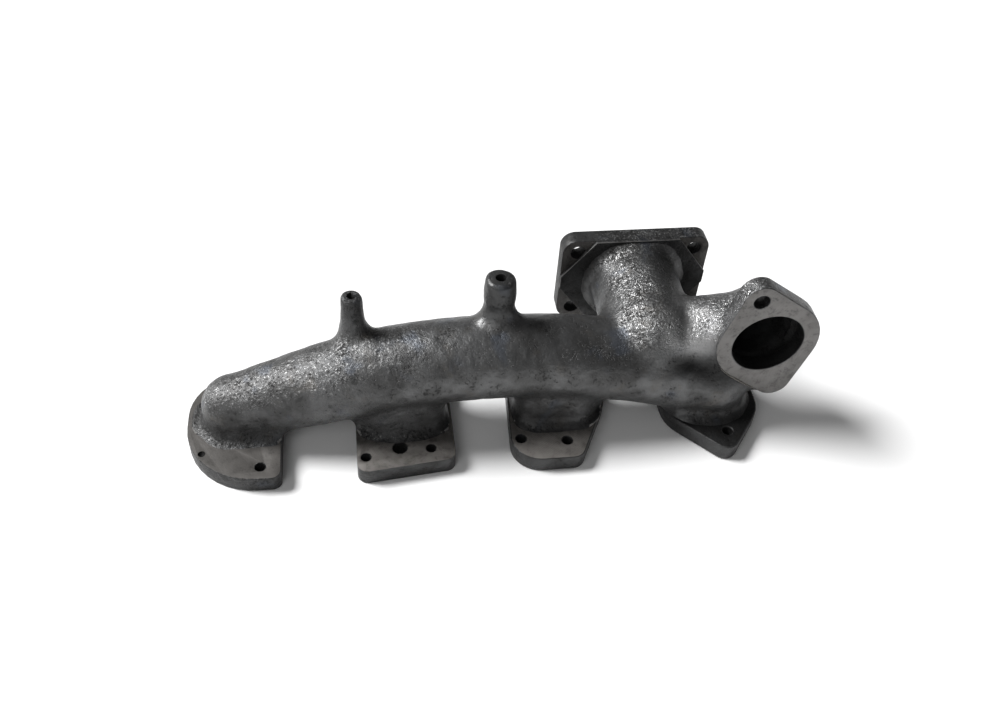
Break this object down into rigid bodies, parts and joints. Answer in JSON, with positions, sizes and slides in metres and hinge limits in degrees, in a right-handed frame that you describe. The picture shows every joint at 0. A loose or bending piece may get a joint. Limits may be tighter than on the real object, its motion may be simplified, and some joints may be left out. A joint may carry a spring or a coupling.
{
  "type": "exhaust manifold",
  "caption": "Cast-iron log exhaust manifold: head flanges under an arched log, a round neck to a rectangular turbocharger flange, and a side outlet with a diamond-shaped flange.",
  "frame": {"origin": "centre of port 1 on the milled face that bolts to the cylinder head", "axes": "+X along the ports from port 1 to port 4, +Y towards the turbocharger flange, +Z away from the cylinder head"},
  "size_m": [0.4185, 0.1363, 0.1252],
  "materials": {
    "raw_iron": "raw sand-cast skin",
    "milled_iron": "milled and ground flange faces"
  },
  "bodies": {
    "root": {"port_flange_1": "milled_iron", "port_flange_2": "milled_iron", "port_flange_3": "milled_iron", "port_flange_4": "milled_iron", "port_runner_2": "raw_iron", "port_runner_3": "raw_iron", "log_end_1": "raw_iron", "log_section_1": "raw_iron", "log_tee_2": "raw_iron", "log_crown": "raw_iron", "log_tee_3": "raw_iron", "turbo_junction": "raw_iron", "log_end_4": "raw_iron", "turbo_neck": "raw_iron", "turbo_flange": "milled_iron", "turbo_flange_pad": "raw_iron", "branch_pipe": "raw_iron", "branch_elbow": "raw_iron", "branch_flange": "milled_iron", "small_boss": "raw_iron", "small_boss_root": "raw_iron", "large_boss": "raw_iron", "large_boss_root": "raw_iron"}
  },
  "joints": []
}
